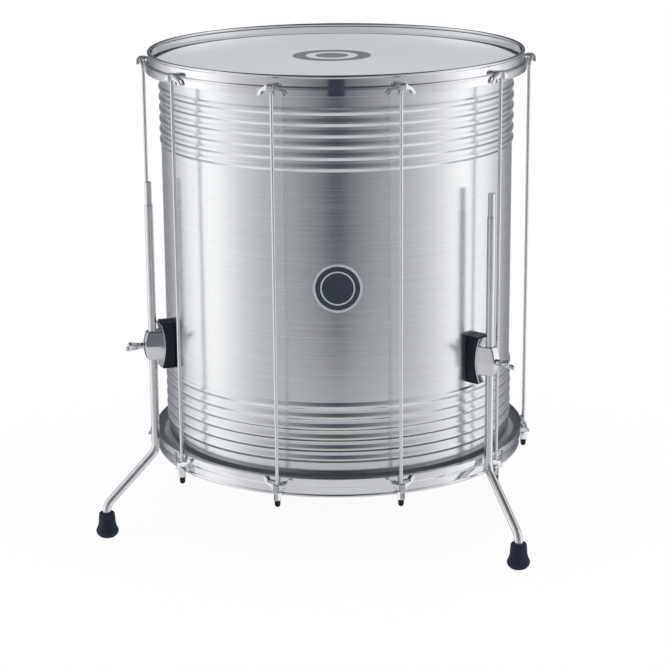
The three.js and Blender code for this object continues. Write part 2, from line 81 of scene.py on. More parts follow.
# What the polished parts mirror: degrees away from the front, and the light's level there
ROOM = [
    (0, 0.045), (4.4, 0.045), (5.4, 0.17), (13, 0.25), (25, 0.37), (38, 0.50), (50, 0.60),
    (63, 0.76), (75, 1.05), (88, 1.28), (101, 1.26), (113, 1.08), (125, 0.75), (137, 0.52),
    (149, 0.25), (160, 0.20), (168, 0.60), (180, 1.0),
]
TABLE = [
    (0, 0.70), (25, 0.69), (38, 0.66), (50, 0.68), (63, 0.78), (75, 0.98), (88, 1.08),
    (101, 1.00), (113, 0.80), (125, 0.52), (137, 0.34), (149, 0.16), (160, 0.12), (168, 0.50),
    (180, 0.90),
]
CEILING = [
    (0, 0.05), (13, 0.12), (25, 0.22), (38, 0.36), (50, 0.52), (63, 0.68), (75, 0.95),
    (88, 1.15), (101, 1.10), (113, 0.90), (125, 0.50), (137, 0.30), (149, 0.12), (180, 0.12),
]
TOP_LEVEL = 0.045
# Degrees above the horizon over which each gives way to the next one up
TABLE_EDGE, CEILING_EDGE, TOP_EDGE = (-17.9, -16.1), (-3, 4), (46, 53)


def length(name, description, millimetres):
    return FloatProperty(
        name=name,
        description=description,
        default=millimetres * MM,
        unit="LENGTH",
        subtype="DISTANCE",
        precision=4,
    )


def angle(name, description, degrees):
    return FloatProperty(
        name=name,
        description=description,
        default=math.radians(degrees),
        unit="ROTATION",
        subtype="ANGLE",
    )


def share(name, description, default):
    return FloatProperty(
        name=name, description=description, default=default, min=0, max=1, subtype="FACTOR"
    )


def colour(name, description, default):
    return FloatVectorProperty(
        name=name,
        description=description,
        default=default,
        size=3,
        min=0,
        max=1,
        subtype="COLOR",
    )


class ShellSizes(bpy.types.PropertyGroup):
    radius: length("Radius", "Outer radius of the shell", 254)
    top: length("Top", "Level of the upper bearing edge", -0.8)
    depth: length("Depth", "From one bearing edge to the other", 558.8)
    wall: length("Wall", "Thickness of the sheet", 1.5)
    edge: length("Edge", "Rounding of the bearing edges", 3)
    lip: length("Lip", "Width of the lip that is rolled inwards", 4)
    rib_count: IntProperty(name="Ribs", description="Rolled ribs at each end", default=6)
    rib_pitch: length("Rib pitch", "From one rib to the next", 15.3)
    rib_width: length("Rib width", "Width of one rib at its foot", 10.6)
    rib_crest: length("Rib crest", "Width of the flat top of a rib", 2.9)
    rib_height: length("Rib height", "How far a rib stands out", 2)
    first_rib: length("First rib", "From the end of the shell to the first rib", 35.6)


class HoopSizes(bpy.types.PropertyGroup):
    band: length("Band radius", "Outer radius of the upright band", 270.3)
    skirt: length("Skirt radius", "Outer radius of the skirt", 274)
    sheet: length("Sheet", "Thickness of the pressed sheet", 2)
    proud: length("Proud", "How far the band stands past the shell", 15)
    height: length("Height", "Whole height of the hoop", 28)
    shoulder_width: length("Shoulder width", "Where the ledge rounds over", 2.8)
    shoulder_drop: length("Shoulder drop", "How far the rounding goes down the skirt", 5)
    bead: length("Bead", "How far the rolled rim stands out", 0.9)
    bead_height: length("Bead height", "Height of the rolled rim", 5)


class HeadSizes(bpy.types.PropertyGroup):
    film: length("Film", "Thickness of the film", 0.5)
    collar: length("Collar", "How far the film falls outside the bearing edge", 4)
    hoop_width: length("Flesh hoop width", "Width of the flesh hoop", 9.4)
    hoop_height: length("Flesh hoop height", "Height of the flesh hoop", 9)
    hoop_wall: length("Flesh hoop wall", "Wall of the flesh hoop", 1.5)
    print_radius: length("Print radius", "Outer radius of the ring printed on the film", 57)
    print_hole: share("Print hole", "Inner radius of the ring, as a share of the outer one", 0.66)
    print_dot: share("Print dot", "Radius of the dot inside it, as a share of the same", 0.42)
    print_x: length("Print place, sideways", "Middle of the print along X", -6)
    print_y: length("Print place, back", "Middle of the print along Y", 17)


class RodSizes(bpy.types.PropertyGroup):
    circle: length("Rod circle", "Radius of the circle the rods stand on", 278)
    radius: length("Rod radius", "Radius of a rod", 2.5)
    sheet: length("Claw sheet", "Thickness of a claw", 2.6)
    beak: length("Beak", "Thickness of the upper claw's beak", 4)
    arm: length("Arm", "Thickness of a prong", 3.2)
    neck: length("Neck width", "Width of a claw where it leaves the ledge", 12)
    nose: length("Nose width", "Width of the upper claw's beak", 9)
    reach: length("Nose reach", "From the rod's axis out to the beak's tip", 9.2)
    drop: length("Nose drop", "How far the beak curls down", 8)
    spread: length("Prong spread", "From the rod's axis to a prong's tip", 17)
    prong: length("Prong width", "Width of a prong", 6.2)
    crotch: length("Crotch", "How far the fork opens below the claw's flat", 5)
    sweep: angle("Sweep", "How far the prongs are swept back onto the skirt", 19)
    boss: length("Boss radius", "Radius of the lower claw's boss", 5.2)
    boss_height: length("Boss height", "Height of the lower claw's boss", 10.2)
    nut: length("Nut", "Across the flats of a tuning nut", 9.8)
    nut_height: length("Nut height", "Height of a tuning nut", 11.5)
    weld_width: length("Weld width", "How far the weld under the claw stands out", 1.3)
    weld_height: length("Weld height", "How far the weld runs down the rod", 3.4)
    cap: length("Cap radius", "Radius of the vinyl cap", 4.4)
    cap_height: length("Cap height", "Height of the vinyl cap", 10.2)


class BracketSizes(bpy.types.PropertyGroup):
    level: length("Level", "Height of the brackets' middles", -402.2)
    pad_height: length("Pad height", "Height of the pad", 68)
    pad_end: length("Pad end", "Thickness of the pad at its ends", 18)
    pad_waist: length("Pad waist", "Thickness of the pad in the middle", 12.5)
    pad_end_width: length("Pad end width", "Width of the pad at its ends", 27)
    pad_waist_width: length("Pad waist width", "Width of the pad in the middle", 32)
    plate: length("Base plate", "Thickness of the housing's base plate", 2.6)
    inset: length("Plate inset", "How far the plate stays inside the pad", 1.6)
    height: length("Housing height", "Height of the housing", 42)
    root_width: length("Root width", "Width of the housing against its base plate", 28.4)
    face_width: length("Face width", "Width of the housing's outer face", 14.6)
    draft: length("Draft", "How much narrower each side is at the housing's ends", 1.5)
    end_wall: length("End wall", "Wall outside the bore", 1.8)
    bow: length("Bow", "How much further out the housing's middle stands", 4.5)
    bore: length("Bore", "Radius of the leg's bore", 6.5)


class WingSizes(bpy.types.PropertyGroup):
    shank: length("Shank", "Radius of the threaded shank", 3)
    boss: length("Boss", "Radius of the boss", 4.6)
    boss_length: length("Boss length", "Length of the boss", 12)
    reach: length("Reach", "From the housing to the ends of the wings", 26)
    spread: length("Spread", "From the axis to the middle of a lobe", 7.2)
    lobe: length("Lobe", "Radius of a wing's lobe", 3.6)
    thickness: length("Thickness", "Thickness of the wings", 5.6)
    rest: angle("Rest turn", "How far each bolt is turned at rest; the first the other way", 38.5)


class LegSizes(bpy.types.PropertyGroup):
    circle: length("Leg circle", "Radius of the circle the legs stand on", 283)
    radius: length("Leg radius", "Radius of the bar", 6)
    bend: length("Bend", "Radius of the bends, on the bar's axis", 24)
    slope: angle("Slope", "Between the bends, from upright", 45)
    reach: length("Reach", "How far out the foot stands", 77)
    foot_straight: length("Straight", "Of bar between the lower bend and the foot", 0.5)
    top: length("Top", "Level of the bar's upper end", -197.2)
    tip: length("Tip radius", "Radius of the slimmer upper end", 4.9)
    tip_length: length("Tip length", "Length of the slimmer upper end", 31)
    shoulder: length("Shoulder", "Height of the cone below it", 4)
    floor: length("Floor", "Level of the floor", -686.9)
    foot_height: length("Foot height", "Height of a foot", 36.9)
    foot_neck: length("Foot neck", "Radius at the foot's mouth", 11.5)
    foot_waist: length("Foot waist", "Radius at the foot's waist", 12.6)
    foot_flare: length("Foot flare", "Widest radius of the foot", 16.5)
    foot_base: length("Foot base", "Radius of the foot's underside", 11.5)


class BadgeSizes(bpy.types.PropertyGroup):
    radius: length("Radius", "Radius of the badge", 34)
    rim: length("Rim", "Width of the bright rim", 3.4)
    thickness: length("Thickness", "Thickness of the badge", 0.9)
    line_outer: share("Line, outside", "Outer radius of the bright line, as a share", 0.70)
    line_inner: share("Line, inside", "Inner radius of the bright line, as a share", 0.64)
    level: length("Level", "Height of the badge's middle", -279)


class Finishes(bpy.types.PropertyGroup):
    aluminium: colour("Aluminium", "Brushed shell", (0.782, 0.795, 0.812))
    chrome: colour("Chrome", "Hoops, claws, rods, brackets and legs", (0.79, 0.80, 0.82))
    film: colour("Film", "Coated heads", (0.745, 0.772, 0.783))
    ink: colour("Ink", "Ring printed on the upper head", (0.035, 0.045, 0.052))
    plastic: colour("Plastic", "Bracket pads", (0.008, 0.014, 0.023))
    rubber: colour("Rubber", "Feet", (0.008, 0.015, 0.027))
    vinyl: colour("Vinyl", "Rod caps", (0.006, 0.007, 0.010))
    enamel: colour("Enamel", "Face of the badge", (0.030, 0.040, 0.056))
    zinc: colour("Zinc", "Backing plates and their screws", (0.55, 0.56, 0.58))


class StageSettings(bpy.types.PropertyGroup):
    floor_radius: FloatProperty(
        name="Floor", description="Radius of the floor", default=4, unit="LENGTH"
    )
    ambient: FloatProperty(name="Ambient", description="Even light from all sides", default=0.50)
    key: FloatProperty(name="Key", description="Power of each side lamp", default=26)
    top: FloatProperty(name="Top", description="Power of the lamp overhead", default=34)


def settings():
    return bpy.context.scene.surdo


def nothing_selected():
    if bpy.context.mode != "OBJECT":
        bpy.ops.object.mode_set(mode="OBJECT")
    bpy.ops.object.select_all(action="DESELECT")


def only(obj):
    nothing_selected()
    obj.select_set(True)
    bpy.context.view_layer.objects.active = obj


def walk(name, points):
    """Extrudes one corner from point to point, and leaves the piece in edit mode."""
    nothing_selected()
    bpy.ops.mesh.primitive_plane_add(size=MM)
    obj = bpy.context.object
    obj.name = obj.data.name = name
    bpy.ops.object.mode_set(mode="EDIT")
    bpy.ops.mesh.select_all(action="SELECT")
    bpy.ops.mesh.merge(type="CENTER")
    bpy.ops.transform.translate(value=points[0])
    for a, b in zip(points, points[1:]):
        step = Vector(b) - Vector(a)
        bpy.ops.mesh.extrude_region_move(TRANSFORM_OT_translate={"value": step})
    return obj


def join_ends(obj):
    """Draws an edge from the last corner of a walk back to its first."""
    mesh = bmesh.from_edit_mesh(obj.data)
    mesh.verts.ensure_lookup_table()
    bpy.ops.mesh.select_all(action="DESELECT")
    mesh.verts[0].select = mesh.verts[-1].select = True
    mesh.select_flush_mode()
    bmesh.update_edit_mesh(obj.data)
    bpy.ops.mesh.edge_face_add()


def close_up():
    """Merges doubles and points every face outwards, then leaves edit mode."""
    bpy.ops.mesh.select_all(action="SELECT")
    bpy.ops.mesh.remove_doubles(threshold=MM / 1000)
    bpy.ops.mesh.normals_make_consistent(inside=False)
    bpy.ops.object.mode_set(mode="OBJECT")


def turned(name, profile, steps=RING_STEPS):
    """Spins a [radius, height] profile round Z; it ends on the axis or closes on itself."""
    obj = walk(name, [(radius, 0, height) for radius, height in profile])
    if profile[0][0] > 0:
        join_ends(obj)
    bpy.ops.mesh.select_all(action="SELECT")
    bpy.ops.mesh.spin(steps=steps, angle=TURN, center=(0, 0, 0), axis=(0, 0, 1))
    close_up()
    return obj


def plate(name, outline, depth):
    """Fills an outline of 3-D points and extrudes it by the vector depth."""
    obj = walk(name, outline)
    bpy.ops.mesh.select_all(action="SELECT")
    bpy.ops.mesh.edge_face_add()
    bpy.ops.mesh.extrude_region_move(TRANSFORM_OT_translate={"value": depth})
    close_up()
    return obj


def facing(name, outline, inner, outer):
    """Outline in [along the rim, height], between two distances from the drum's axis."""
    return plate(name, [(x, -inner, z) for x, z in outline], (0, inner - outer, 0))


def sideways(name, outline, width):
    """Outline in [distance from the drum's axis, height], as thick as width."""
    return plate(name, [(-width / 2, -r, z) for r, z in outline], (width, 0, 0))


def drum_rod(name, radius, bottom, top, steps=32):
    """Upright round bar on the drum's axis, to be moved to its place."""
    return turned(name, [(0, bottom), (radius, bottom), (radius, top), (0, top)], steps)


def moved(obj, matrix):
    only(obj)
    obj.matrix_world = matrix @ obj.matrix_world
    bpy.ops.object.transform_apply(location=True, rotation=True, scale=True)
    return obj


def outwards(obj):
    """Turns a piece that was made along Z so that it points out of the drum's front."""
    return moved(obj, Matrix.Rotation(math.pi / 2, 4, "X"))


def combine(obj, other, operation):
    """Applies a boolean with the other piece, which is used up."""
    only(obj)
    modifier = obj.modifiers.new(operation.title(), "BOOLEAN")
    modifier.operation = operation
    modifier.solver = "EXACT"
    modifier.object = other
    bpy.ops.object.modifier_apply(modifier=modifier.name)
    bpy.data.objects.remove(other)
    return obj


def round_edges(obj, width, segments=2, sharper_than=30):
    """Bevels the edges whose faces meet at more than some degrees."""
    only(obj)
    modifier = obj.modifiers.new("Rounding", "BEVEL")
    modifier.width = width
    modifier.segments = segments
    modifier.limit_method = "ANGLE"
    modifier.angle_limit = math.radians(sharper_than)
    modifier.harden_normals = False
    bpy.ops.object.modifier_apply(modifier=modifier.name)
    return obj


def smooth(obj, degrees):
    """Shades a piece smooth up to an angle, with its flat faces kept flat."""
    only(obj)
    bpy.ops.object.shade_smooth_by_angle(angle=math.radians(degrees))
    modifier = obj.modifiers.new("flat_faces", "WEIGHTED_NORMAL")
    modifier.keep_sharp = True
    bpy.ops.object.modifier_apply(modifier=modifier.name)
    return obj


def joined(name, *objects):
    nothing_selected()
    for obj in objects:
        obj.select_set(True)
    bpy.context.view_layer.objects.active = objects[0]
    bpy.ops.object.join()
    obj = bpy.context.object
    obj.name = obj.data.name = name
    return obj


def copied(obj, name, matrix):
    only(obj)
    bpy.ops.object.duplicate(linked=False)
    copy = bpy.context.object
    copy.name = copy.data.name = name
    return moved(copy, matrix)


def dressed(obj, material, body, slot, *nodes):
    """Gives a finished piece its material and its body, and hides the imported nodes it stands
    for; slot is not used.
    """
    obj.data.materials.clear()
    obj.data.materials.append(material)
    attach(obj, body)
    if nodes:
        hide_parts(*nodes)
    return obj


def set_out(master, places, name, material, body, slot, node=None):
    """Copies a piece to its places, with its number for each {}, and removes the first."""
    for i, place in enumerate(places, 1):
        copy = copied(master, name.format(i), place)
        nodes = [node.format(i)] if node else []
        dressed(copy, material, body.format(i), slot, *nodes)
    bpy.data.objects.remove(master)


def around(turn):
    return Matrix.Rotation(turn, 4, "Z")


def rod_places():
    """From the drum's front to each rod."""
    return [around(turn) for turn in ROD_ANGLES]


def bracket_places():
    """From the drum's front to each bracket."""
    return [around(turn) for turn in LEG_ANGLES]


def leg_places():
    """From a leg's own frame, with its upright bar on Z, to each leg's place on the drum."""
    out = Matrix.Translation((0, -settings().leg.circle, 0))
    return [around(turn) @ out @ around(swivel) for turn, swivel in zip(LEG_ANGLES, LEG_TURNS)]


def on_rod_circle(obj):
    return moved(obj, Matrix.Translation((0, -settings().rod.circle, 0)))


def arc(centre, radius, start, end, steps):
    """Points of a circular arc between two angles in degrees."""
    points = []
    for i in range(steps + 1):
        turn = math.radians(start + (end - start) * i / steps)
        points.append((centre[0] + radius * math.cos(turn), centre[1] + radius * math.sin(turn)))
    return points


def bowed(end, rise, half, steps=16):
    """Points of a shallow bow upwards, standing out by rise in the middle."""
    shares = [2 * i / steps - 1 for i in range(steps + 1)]
    return [(end + rise * (1 - s * s), half * s) for s in shares]


def middle_level():
    shell = settings().shell
    return shell.top - shell.depth / 2


def turned_over(profile):
    """The same profile at the drum's other end."""
    return [(radius, 2 * middle_level() - height) for radius, height in profile]


# Finishes


class Nodes:
    """Short hand for a node tree."""

    def __init__(self, tree):
        self.tree = tree

    def add(self, kind, **values):
        node = self.tree.nodes.new(kind)
        for key, value in values.items():
            setattr(node, key, value)
        return node

    def link(self, output, target):
        self.tree.links.new(output, target)

    def feed(self, socket, value):
        """Links an output to the socket, or writes a plain value or colour into it."""
        if isinstance(value, bpy.types.NodeSocket):
            self.link(value, socket)
        elif socket.type == "RGBA":
            rgb = (value,) * 3 if isinstance(value, (int, float)) else value
            socket.default_value = (*rgb, 1)
        else:
            socket.default_value = value

    def filled(self, kind, **values):
        """Adds a node and feeds its inputs, which are named with _ for a space."""
        node = self.add(kind)
        for key, value in values.items():
            self.feed(node.inputs[key.replace("_", " ")], value)
        return node

    def math(self, operation, *values):
        node = self.add("ShaderNodeMath", operation=operation)
        for socket, value in zip(node.inputs, values):
            self.feed(socket, value)
        return node.outputs[0]

    def axes(self, vector):
        return self.filled("ShaderNodeSeparateXYZ", Vector=vector).outputs

    def distance(self, x, y):
        """How far a point lies from the origin, by two of its coordinates."""
        squares = [self.math("MULTIPLY", value, value) for value in (x, y)]
        return self.math("SQRT", self.math("ADD", *squares))

    def place(self):
        return self.add("ShaderNodeTexCoord").outputs["Object"]

    def stretched(self, vector, scale):
        return self.filled("ShaderNodeMapping", Vector=vector, Scale=scale).outputs[0]

    def noise(self, vector, scale, detail=4.0, roughness=0.5):
        node = self.filled(
            "ShaderNodeTexNoise", Vector=vector, Scale=scale, Detail=detail, Roughness=roughness
        )
        return node.outputs["Fac"]

    def spread(self, value, low, high, start=0.3, end=0.7):
        """Spreads a value between start and end over low to high."""
        ends = {"From_Min": start, "From_Max": end, "To_Min": low, "To_Max": high}
        return self.filled("ShaderNodeMapRange", Value=value, **ends).outputs["Result"]

    def blend(self, amount, one, other):
        node = self.add("ShaderNodeMix", data_type="RGBA")
        self.link(amount, node.inputs["Factor"])
        ends = [socket for socket in node.inputs if socket.type == "RGBA"]
        for socket, value in zip(ends, (one, other)):
            self.feed(socket, value)
        return [socket for socket in node.outputs if socket.type == "RGBA"][0]


class Finish(Nodes):
    """A new material, with short hand for its surface."""

    def __init__(self, name):
        self.material = bpy.data.materials.new(name)
        self.material.use_nodes = True
        super().__init__(self.material.node_tree)
        self.surface = self.tree.nodes["Principled BSDF"]

    def set(self, **values):
        for key, value in values.items():
            self.feed(self.surface.inputs[key.replace("_", " ")], value)

    def bump(self, height, distance, strength):
        node = self.filled("ShaderNodeBump", Height=height, Distance=distance, Strength=strength)
        self.link(node.outputs["Normal"], self.surface.inputs["Normal"])


def tinted(rgb, factor):
    return tuple(min(1.0, channel * factor) for channel in rgb)


def made(name, build):
    """Makes each material once and hands out the same one afterwards.

    The first word keeps its name apart from the frame's own materials, which the slots name.
    """
    name = f"surdo_{name}"
    return bpy.data.materials.get(name) or build(name)


def brushed_aluminium():
    """Brushed round the drum: fine streaks, broader cloudy ones, and stretched highlights."""

    def build(name):
        n = Finish(name)
        place = n.place()
        fine = n.noise(n.stretched(place, (10, 10, 1500)), 1, 5, 0.6)
        broad = n.noise(n.stretched(place, (5, 5, 90)), 1, 3)
        rgb = settings().finish.aluminium
        streak = n.blend(n.spread(fine, 0, 1), tinted(rgb, 0.90), tinted(rgb, 1.05))
        n.set(
            Base_Color=n.blend(n.spread(broad, 0, 0.35), streak, tinted(rgb, 0.93)),
            Metallic=1.0,
            Roughness=n.spread(fine, 0.16, 0.24),
            Anisotropic=0.62,
            Anisotropic_Rotation=0.0,
        )
        tangent = n.add("ShaderNodeTangent", direction_type="RADIAL", axis="Z")
        n.link(tangent.outputs[0], n.surface.inputs["Tangent"])
        n.bump(fine, 0.01 * MM, 0.25)
        return n.material

    return made("brushed_aluminium", build)


def plated(name, rgb, roughness, waviness, drawn=None, metallic=1.0):
    """Bright plating: a faint unevenness that bends reflections, and slight smears.

    drawn stretches the unevenness into the lines that rolling leaves round a hoop.
    """

    def build(name):
        n = Finish(name)
        place = n.place()
        smear = n.noise(place, 38, 4, 0.6)
        n.set(
            Base_Color=n.blend(n.spread(smear, 0, 1), tinted(rgb, 0.95), tinted(rgb, 1.02)),
            Metallic=metallic,
            Roughness=n.spread(smear, roughness * 0.7, roughness * 1.4),
        )
        if drawn:
            n.bump(n.noise(n.stretched(place, drawn), 1, 3), 0.1 * MM, waviness)
        else:
            n.bump(n.noise(place, 260, 2), 0.01 * MM, waviness)
        return n.material

    return made(name, build)


def chrome():
    return plated("polished_chrome", settings().finish.chrome, 0.045, 0.3)


def rolled_chrome():
    return plated("rolled_chrome", settings().finish.chrome, 0.05, 0.5, (9, 9, 420))


def bar_chrome():
    return plated("bar_chrome", settings().finish.chrome, 0.22, 0.2, metallic=0.92)


def cast_chrome():
    return plated("plated_casting", tinted(settings().finish.chrome, 0.92), 0.06, 0.6)


def satin_aluminium():
    # Tinted down to 0.65 of the aluminium's colour: painted shade for the deep gap under the
    # counterhoop that the flesh hoops sit in.
    return plated("satin_aluminium", tinted(settings().finish.aluminium, 0.65), 0.34, 0.5)


def satin_trim():
    return plated("satin_trim", tinted(settings().finish.chrome, 1.15), 0.5, 0.5)


def zinc():
    return plated("zinc_plate", settings().finish.zinc, 0.32, 0.6)


def coated_film():
    """White coating with a fine tooth; the upper film has a plain ring and dot printed on it."""

    def build(name):
        n = Finish(name)
        head, finish = settings().head, settings().finish
        place = n.place()
        tooth = n.noise(place, 1400, 3, 0.7)
        cloud = n.noise(place, 7, 3)
        white, faint = tinted(finish.film, 0.98), tinted(finish.film, 1.01)
        ground = n.blend(n.spread(cloud, 0, 1), white, faint)
        x, y, z = n.axes(place)
        away = n.distance(
            n.math("SUBTRACT", x, head.print_x), n.math("SUBTRACT", y, head.print_y)
        )
        disc, hole, dot = (
            n.math("LESS_THAN", away, head.print_radius * part)
            for part in (1, head.print_hole, head.print_dot)
        )
        upper = n.math("GREATER_THAN", z, -100 * MM)
        print_ = n.math("ADD", n.math("SUBTRACT", disc, hole), dot)
        worn = n.math("MULTIPLY", n.math("MULTIPLY", print_, upper), n.spread(tooth, 0.62, 0.86))
        n.set(
            Base_Color=n.blend(worn, ground, finish.ink),
            Roughness=n.spread(tooth, 0.26, 0.36),
            Specular_IOR_Level=0.4,
            Coat_Weight=0.2,
            Coat_Roughness=0.10,
        )
        n.bump(tooth, 0.04 * MM, 0.4)
        return n.material

    return made("coated_film", build)


def moulded(name, rgb, roughness, grain, depth, wear=1.7):
    """Moulded plastic or rubber with a grain of some depth and a dusty bloom."""

    def build(name):
        n = Finish(name)
        place = n.place()
        skin = n.noise(place, grain, 3, 0.6)
        bloom = n.noise(place, 45, 4, 0.6)
        n.set(
            Base_Color=n.blend(n.spread(bloom, 0, 0.6), rgb, tinted(rgb, wear)),
            Roughness=n.spread(skin, roughness * 0.85, roughness * 1.15),
            IOR=1.3,
        )
        n.bump(skin, depth, 0.5)
        return n.material

    return made(name, build)


def pad_plastic():
    return moulded("pad_plastic", settings().finish.plastic, 0.42, 1600, 0.03 * MM)


def foot_rubber():
    return moulded("foot_rubber", settings().finish.rubber, 0.58, 1100, 0.06 * MM)


def cap_vinyl():
    return moulded("cap_vinyl", settings().finish.vinyl, 0.34, 900, 0.02 * MM)


def badge_enamel():
    return moulded("badge_enamel", settings().finish.enamel, 0.28, 700, 0.01 * MM, 1.25)


# Pieces


def shell_side(radius, edge, mouth):
    """One face of the upper end of the shell, from its mouth down past the ribs."""
    s = settings().shell
    points = arc((radius - edge, mouth - edge), edge, 90, 0, 5)
    for i in range(s.rib_count):
        level = s.top - s.first_rib - i * s.rib_pitch
        flank = [(0, s.rib_width / 2 + BESIDE_RIB)]
        for share_up in (step / FLANK_STEPS for step in range(FLANK_STEPS + 1)):
            sway = FLANK_SWAY * math.sin(TURN * share_up)
            slope = (s.rib_width - s.rib_crest) / 2 * share_up
            flank.append((s.rib_height * (share_up - sway), s.rib_width / 2 - slope))
        points += [(radius + rise, level + offset) for rise, offset in flank]
        points += [(radius + rise, level - offset) for rise, offset in flank[::-1]]
    return points


def at_both_ends(nodes, profile, degrees, material, slot):
    """Spins a profile of the drum's upper end, and the same turned over for the lower end."""
    for node, shape in zip(nodes, (profile, turned_over(profile))):
        obj = smooth(turned(f"fine_{node}", shape), degrees)
        dressed(obj, material, "drum", slot, node)


class SURDO_OT_shell(bpy.types.Operator):
    """Spins the shell from one profile, with its rolled ends and ribs"""

    bl_idname = "surdo.shell"
    bl_label = "Shell"

    def execute(self, context):
        s = settings().shell
        outer = shell_side(s.radius, s.edge, s.top)
        inner = shell_side(s.radius - s.wall, s.edge - s.wall, s.top - s.wall)
        lip = s.radius - s.edge - s.lip
        ends = [(lip, s.top - s.wall), (lip, s.top)]
        profile = ends + outer + turned_over(outer)[::-1] + turned_over(ends)[::-1]
        profile += turned_over(inner) + inner[::-1]
        obj = smooth(turned("fine_shell", profile), 60)
        dressed(obj, brushed_aluminium(), "drum", "shell_aluminium", "shell")
        return {"FINISHED"}


class SURDO_OT_hoops(bpy.types.Operator):
    """Spins both counterhoops from one pressed profile"""

    bl_idname = "surdo.hoops"
    bl_label = "Counterhoops"

    def execute(self, context):
        h, s = settings().hoop, settings().shell
        rim, under_ledge = s.top + h.proud, s.top - h.sheet
        inner, skirt_inner = h.band - h.sheet, h.skirt - h.sheet
        end = rim - h.height
        bend, crease, corner, fillet = 2 * MM, 0.5 * MM, 0.35 * MM, 0.6 * MM
        roll = h.bead_height / 2
        roll_centre = (h.band + h.bead - roll, rim - roll)
        profile = [(inner, rim - 2.2 * roll), (inner, under_ledge + bend)]
        profile += arc((inner + bend, under_ledge + bend), bend, 180, 270, 4)[1:]
        profile += arc((skirt_inner - crease, under_ledge - crease), crease, 90, 0, 3)
        profile += arc((skirt_inner + corner, end + corner), corner, 180, 270, 3)
        profile += arc((h.skirt - corner, end + corner), corner, 270, 360, 3)
        profile += [
            (h.skirt - h.shoulder_width * across, s.top - h.shoulder_drop * (1 - up))
            for across, up in arc((1, 0), 1, 180, 90, 8)
        ]
        profile += arc((h.band + fillet, s.top + fillet), fillet, 270, 180, 3)
        profile += arc(roll_centre, roll, -65, 215, 16)
        at_both_ends(("upper_hoop", "lower_hoop"), profile, 40, rolled_chrome(), "chrome_hoop")
        return {"FINISHED"}


def flesh_hoop_edges():
    """Inner radius, outer radius, bottom and top of the upper flesh hoop."""
    h, s, d = settings().hoop, settings().shell, settings().head
    top = s.top - h.sheet - GAP
    outer = h.skirt - h.sheet - GAP
    return outer - d.hoop_width, outer, top - d.hoop_height, top


class SURDO_OT_heads(bpy.types.Operator):
    """Spins the two films, drawn over the bearing edges into their flesh hoops"""

    bl_idname = "surdo.heads"
    bl_label = "Heads"

    def execute(self, context):
        d, s = settings().head, settings().shell
        inner, _, bottom, _ = flesh_hoop_edges()
        knee = inner + d.hoop_wall + GAP
        floor = bottom + d.hoop_wall + GAP
        bow = 2.4 * MM
        over = arc((s.radius + GAP, -bow), bow, 90, 38, 5)
        first, second, last = 60 * MM, 150 * MM, 235 * MM  # rings across the flat of the film
        profile = [(0, 0), (first, 0), (second, 0), (last, 0)] + over
        profile += [(knee + d.film, -d.collar), (knee + d.film, floor), (knee, floor)]
        profile += [(knee, -d.collar - d.film / 2)]
        profile += [(r - d.film * 0.3, z - d.film) for r, z in over[::-1]]
        profile += [(last, -d.film), (second, -d.film), (0, -d.film)]
        at_both_ends(("batter_head", "resonant_head"), profile, 40, coated_film(), "head_film")
        return {"FINISHED"}


class SURDO_OT_flesh_hoops(bpy.types.Operator):
    """Spins the aluminium channels that the films are crimped into"""

    bl_idname = "surdo.flesh_hoops"
    bl_label = "Flesh hoops"

    def execute(self, context):
        d = settings().head
        inner, outer, bottom, top = flesh_hoop_edges()
        wall, corner = d.hoop_wall, 0.7 * MM
        floor = bottom + wall
        low_wall = -(d.collar + d.film + GAP)
        profile = arc((inner + corner, bottom + corner), corner, 180, 270, 3)
        profile += arc((outer - corner, bottom + corner), corner, 270, 360, 3)
        profile += [(outer, top), (outer - wall, top), (outer - wall, floor)]
        profile += [(inner + wall, floor), (inner + wall, low_wall), (inner, low_wall)]
        nodes = ("upper_flesh_hoop", "lower_flesh_hoop")
        # The flesh hoops take the aluminium darkened with painted shade for the gap they sit in.
        at_both_ends(nodes, profile, 35, satin_aluminium(), "flesh_hoop_aluminium")
        return {"FINISHED"}


def fork(name, flat, up):
    """Two prongs swept back onto the skirt; up is 1 for the upper claw and -1 for the lower."""
    c, h = settings().rod, settings().hoop
    tip = h.height - h.proud
    half_prong, root = c.prong / 2, 2 * MM
    outline = [(root, c.sheet), (c.neck / 2, c.sheet), (c.neck / 2 + 1.2 * MM, c.sheet * 0.2)]
    outline += [(c.spread - 1.5 * MM, -tip * 0.30), (c.spread + half_prong, -tip + half_prong)]
    outline += arc((c.spread, -tip + half_prong), half_prong, -20, -160, 6)
    outline += [(c.spread - half_prong, -tip + half_prong)]
    outline += [(c.spread * 0.72, -tip * 0.50), (c.neck * 0.31, -c.crotch), (root, -c.crotch)]
    face = h.skirt + GAP
    arms = []
    for side in (1, -1):
        shape = [(side * x, flat + up * z) for x, z in outline]
        arm = facing(name, shape, face, face + c.arm)
        hinge = Matrix.Translation((side * (c.spread + half_prong), -face, 0))
        arms.append(moved(arm, hinge @ around(side * c.sweep) @ hinge.inverted()))
    return joined(name, *arms)


